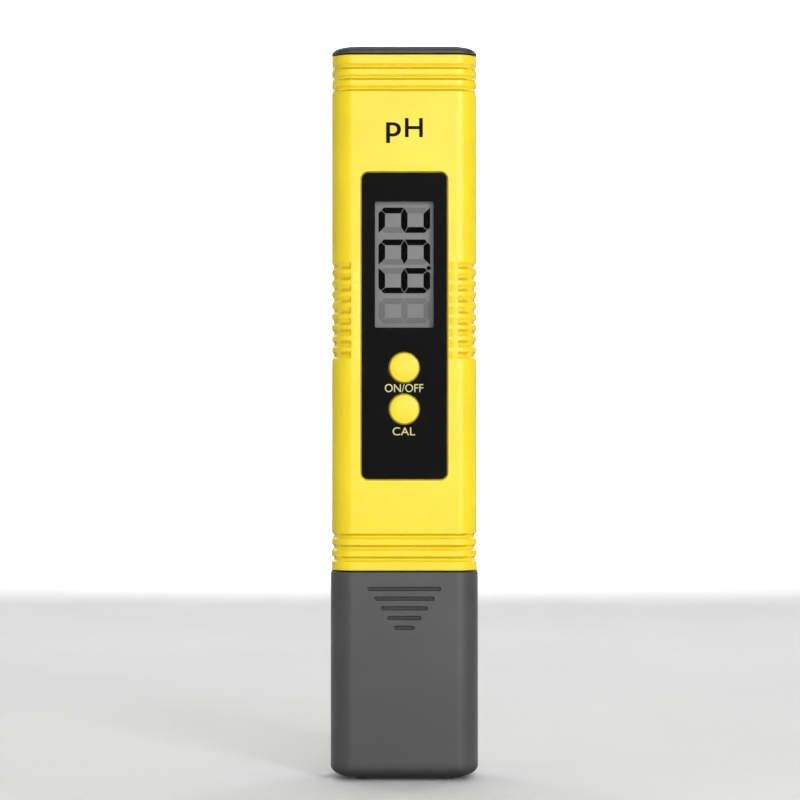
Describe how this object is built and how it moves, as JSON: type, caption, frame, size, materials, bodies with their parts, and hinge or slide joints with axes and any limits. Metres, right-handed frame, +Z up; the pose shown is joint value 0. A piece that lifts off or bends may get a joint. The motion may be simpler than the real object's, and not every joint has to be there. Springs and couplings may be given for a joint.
{
  "type": "ph meter",
  "caption": "Flat pocket pH meter with a display and push buttons on a black panel, standing in a pull-off protective cap over its glass electrode.",
  "frame": {"origin": "on the floor, under the middle of the protective cap's flat foot", "axes": "+Z up along the meter from the protective cap to the battery lid, -Y out of the display's face, +X to the right of someone reading the panel"},
  "size_m": [0.0312, 0.016, 0.155],
  "materials": {
    "yellow_plastic": "satin",
    "cap_plastic": "satin",
    "lid_plastic": "satin",
    "panel_plastic": "satin",
    "inner_plastic": "matte",
    "white_plastic": "satin",
    "label_film": "satin",
    "clear_plastic": "gloss",
    "display_glass": "gloss",
    "bulb_glass": "gloss",
    "seal_rubber": "matte",
    "zebra_rubber": "matte",
    "sponge": "matte",
    "porous_ceramic": "matte",
    "epoxy": "satin",
    "board_laminate": "satin",
    "chip_plastic": "matte",
    "capacitor_body": "satin",
    "steel": "satin",
    "spring_metal": "satin",
    "silver": "satin",
    "red_wire": "satin",
    "black_wire": "satin",
    "white_wire": "satin"
  },
  "bodies": {
    "protective_cap": {"protective_cap": "cap_plastic", "storage_sponge": "sponge"},
    "meter": {"front_shell": "yellow_plastic", "rear_shell": "yellow_plastic", "rear_label": "label_film", "face_panel": "panel_plastic", "display_window": "clear_plastic", "display_frame": "inner_plastic", "display_glass": "display_glass", "zebra_strip_left": "zebra_rubber", "zebra_strip_right": "zebra_rubber", "main_board": "board_laminate", "microcontroller": "chip_plastic", "amplifier_chip": "chip_plastic", "crystal": "steel", "capacitor": "capacitor_body", "power_switch": "inner_plastic", "cal_switch": "inner_plastic", "board_screw_left": "steel", "board_screw_right": "steel", "board_screw_lower": "steel", "case_screw_upper": "steel", "case_screw_lower": "steel", "electrode_holder": "inner_plastic", "cap_seal": "seal_rubber", "electrode_tube": "inner_plastic", "glass_electrode": "bulb_glass", "reference_junction": "porous_ceramic", "stem_seal": "seal_rubber", "electrode_plug": "epoxy", "inner_electrode_wire": "silver", "reference_wire": "silver", "temperature_probe": "steel", "electrode_lead": "red_wire", "reference_lead": "black_wire", "temperature_lead": "white_wire", "battery_contact_left": "spring_metal", "battery_contact_right": "spring_metal"},
    "battery_drawer": {"battery_lid": "lid_plastic", "lid_seal": "seal_rubber", "battery_tray": "inner_plastic", "battery_bridge": "spring_metal", "battery_cell_left": "steel", "battery_cell_right": "steel"},
    "power_key": {"power_button": "yellow_plastic", "power_plunger": "white_plastic"},
    "cal_key": {"cal_button": "yellow_plastic", "cal_plunger": "white_plastic"}
  },
  "joints": [
    {"name": "cap_pull", "type": "slide", "parent": "protective_cap", "child": "meter", "axis": [0, 0, 1], "range_m": [0, 0.045]},
    {"name": "battery_drawer_slide", "type": "slide", "parent": "meter", "child": "battery_drawer", "axis": [0, 0, 1], "range_m": [0, 0.02]},
    {"name": "power_press", "type": "slide", "parent": "meter", "child": "power_key", "axis": [0, 1, 0], "range_m": [0, 0.0005], "stiffness_N_per_m": 1200, "springref_m": -0.0002},
    {"name": "cal_press", "type": "slide", "parent": "meter", "child": "cal_key", "axis": [0, 1, 0], "range_m": [0, 0.0005], "stiffness_N_per_m": 1200, "springref_m": -0.0002}
  ]
}
